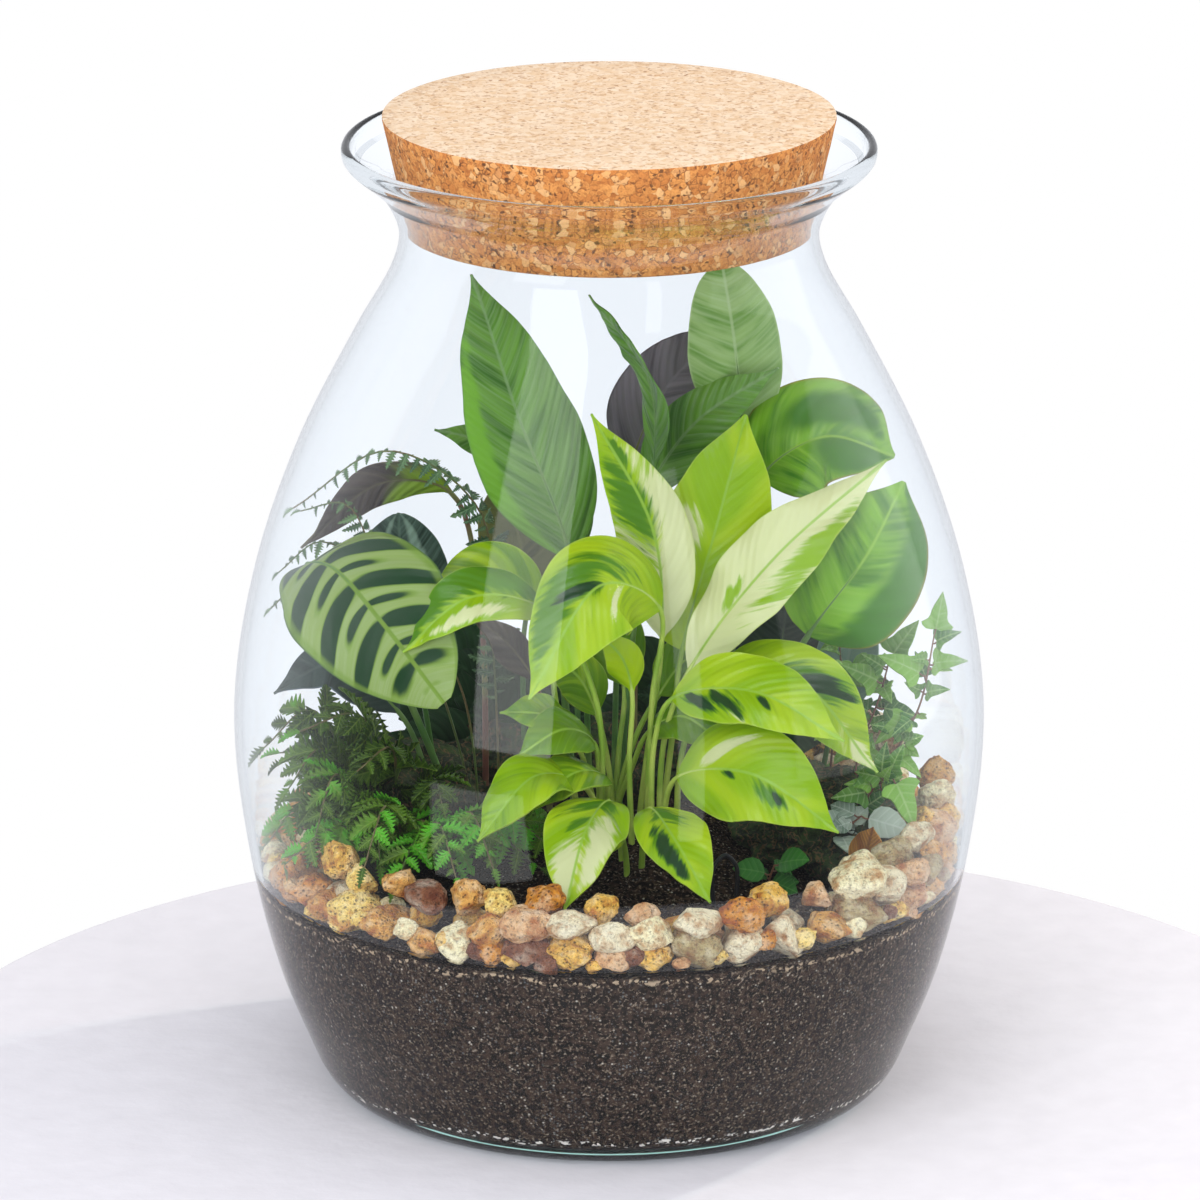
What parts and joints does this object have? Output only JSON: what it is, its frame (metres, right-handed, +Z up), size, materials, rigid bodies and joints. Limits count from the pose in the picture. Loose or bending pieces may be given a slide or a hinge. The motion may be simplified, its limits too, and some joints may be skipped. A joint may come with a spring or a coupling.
{
  "type": "glass plant terrarium",
  "caption": "Wide-bellied clear glass jar with a flared rim and cork stopper, planted inside with foliage in dark soil and a ring of pebbles.",
  "frame": {"origin": "on the table under the jar's axis, at the bottom of the foot ring", "axes": "+Z up along the jar's axis, -Y towards the front that shows the striped leaf at the left and the broad leaves at the right"},
  "size_m": [0.2996, 0.2996, 0.397],
  "materials": {
    "clear_glass": "clear blown glass, teal where thick",
    "cork": "agglomerated cork granules, cut faces",
    "soil": "moist dark potting soil",
    "pebble": "rounded gravel in cream, ochre, rust and grey",
    "lime_leaf": "glossy yellow-green leaf with dark and cream patches",
    "cream_leaf": "glossy pale cream leaf with green streaks",
    "dark_leaf": "satin dark green leaf with side veins",
    "green_leaf": "satin mid green leaf",
    "slate_leaf": "satin grey-violet leaf underside",
    "striped_leaf": "satin pale green leaf with dark bands along the side veins",
    "fern": "matte green serrated leaflets",
    "creeper": "matte green small leaves on brown stems",
    "silver_leaf": "matte silver-veined small leaves",
    "dead_leaf": "dry orange-brown leaf",
    "black_wire": "black coated wire"
  },
  "bodies": {
    "root": {"arching_frond_high": "fern", "arching_frond_low": "fern", "arching_frond_middle": "fern", "arching_frond_outer": "fern", "broad_leaf_dark": "dark_leaf", "broad_leaf_lower": "green_leaf", "broad_leaf_teal": "dark_leaf", "broad_leaf_upper": "green_leaf", "cork_stopper": "cork", "creeper_stem_back": "creeper", "creeper_stem_low": "creeper", "creeper_stem_middle": "creeper", "creeper_stem_tall": "creeper", "dark_leaf_edge": "dark_leaf", "dark_leaf_left_tip": "dark_leaf", "dark_leaf_right": "dark_leaf", "dark_leaf_slim": "dark_leaf", "dark_leaf_tall": "dark_leaf", "dead_leaf": "dead_leaf", "fern_frond_front": "fern", "fern_frond_front_left": "fern", "fern_frond_left": "fern", "fern_frond_right": "fern", "fern_frond_upper": "fern", "glass_jar": "clear_glass", "lime_leaf_arch_left": "lime_leaf", "lime_leaf_back_right": "lime_leaf", "lime_leaf_broad": "lime_leaf", "lime_leaf_cream": "cream_leaf", "lime_leaf_curl": "lime_leaf", "lime_leaf_far_left": "lime_leaf", "lime_leaf_front_left": "lime_leaf", "lime_leaf_front_right": "lime_leaf", "lime_leaf_low_left": "lime_leaf", "lime_leaf_low_right": "lime_leaf", "lime_leaf_mid_left": "lime_leaf", "lime_leaf_right": "lime_leaf", "lime_leaf_shade_a": "lime_leaf", "lime_leaf_shade_b": "lime_leaf", "lime_leaf_tall": "lime_leaf", "lime_leaf_young": "lime_leaf", "pebbles_1": "pebble", "pebbles_2": "pebble", "pebbles_3": "pebble", "pebbles_4": "pebble", "pebbles_5": "pebble", "soil": "soil", "sprig_round_leaved": "creeper", "sprig_silver": "silver_leaf", "striped_leaf_back": "striped_leaf", "striped_leaf_front": "striped_leaf", "striped_leaf_olive": "striped_leaf", "striped_leaf_purple": "slate_leaf", "striped_leaf_red": "slate_leaf", "striped_leaf_slate": "slate_leaf", "top_back_leaf": "green_leaf", "undergrowth_left": "dark_leaf", "undergrowth_right": "dark_leaf", "violet_back_leaf": "slate_leaf", "wire_pin": "black_wire"}
  },
  "joints": []
}
